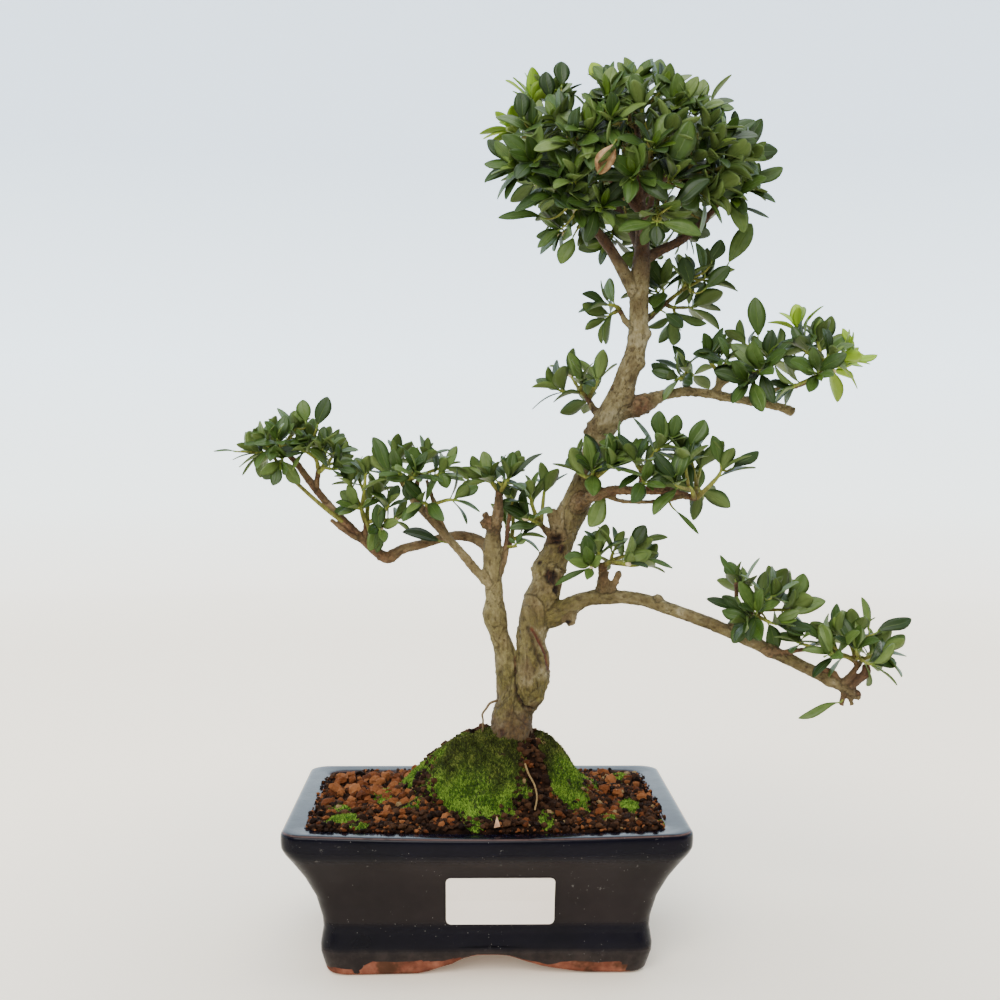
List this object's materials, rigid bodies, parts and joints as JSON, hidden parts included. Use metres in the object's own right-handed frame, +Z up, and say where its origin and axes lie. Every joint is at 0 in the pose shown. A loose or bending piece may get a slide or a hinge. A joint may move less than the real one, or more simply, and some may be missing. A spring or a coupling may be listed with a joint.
{
  "type": "japanese holly bonsai",
  "caption": "Small-leaved evergreen bonsai with two trunks, layered branches and a round crown, in a rectangular glazed pot with moss and soil; stands on a surface.",
  "frame": {"origin": "middle of the plant's outline seen from above, on the surface that the pot's feet stand on", "axes": "+Z up the tree; +Y from the pot's labelled front to its back, the shortest way through the plant; +X to the right seen from the front"},
  "size_m": [0.3422, 0.1398, 0.4442],
  "materials": {
    "glazed_pot": "gloss",
    "drain_screen": "matte",
    "label_paper": "matte",
    "soil": "matte",
    "moss": "matte",
    "dry_wood": "matte",
    "bark": "matte",
    "foliage": "satin"
  },
  "bodies": {
    "root": {"label": "label_paper", "moss_corner": "moss", "moss_front": "moss", "moss_left": "moss", "moss_right": "moss", "moss_side": "moss", "pot": "glazed_pot", "screen_left": "drain_screen", "screen_right": "drain_screen", "soil": "soil", "splinter": "dry_wood", "spray_a": "foliage", "spray_a_low": "foliage", "spray_b_far": "foliage", "spray_b_inner": "foliage", "spray_b_mid": "foliage", "spray_c_end": "foliage", "spray_c_left": "foliage", "spray_c_mid": "foliage", "spray_crown_back": "foliage", "spray_crown_back_right": "foliage", "spray_crown_far_left": "foliage", "spray_crown_front": "foliage", "spray_crown_low_left": "foliage", "spray_crown_right": "foliage", "spray_crown_top": "foliage", "spray_crown_up_left": "foliage", "spray_crown_up_right": "foliage", "spray_d_mid": "foliage", "spray_d_near": "foliage", "spray_d_out": "foliage", "spray_d_twig": "foliage", "spray_e1": "foliage", "spray_e2": "foliage", "spray_e3": "foliage", "spray_f": "foliage", "spray_g": "foliage", "spray_h": "foliage", "spray_left_back": "foliage", "spray_left_top": "foliage", "spray_trunk_left": "foliage", "trunk": "bark"}
  },
  "joints": []
}
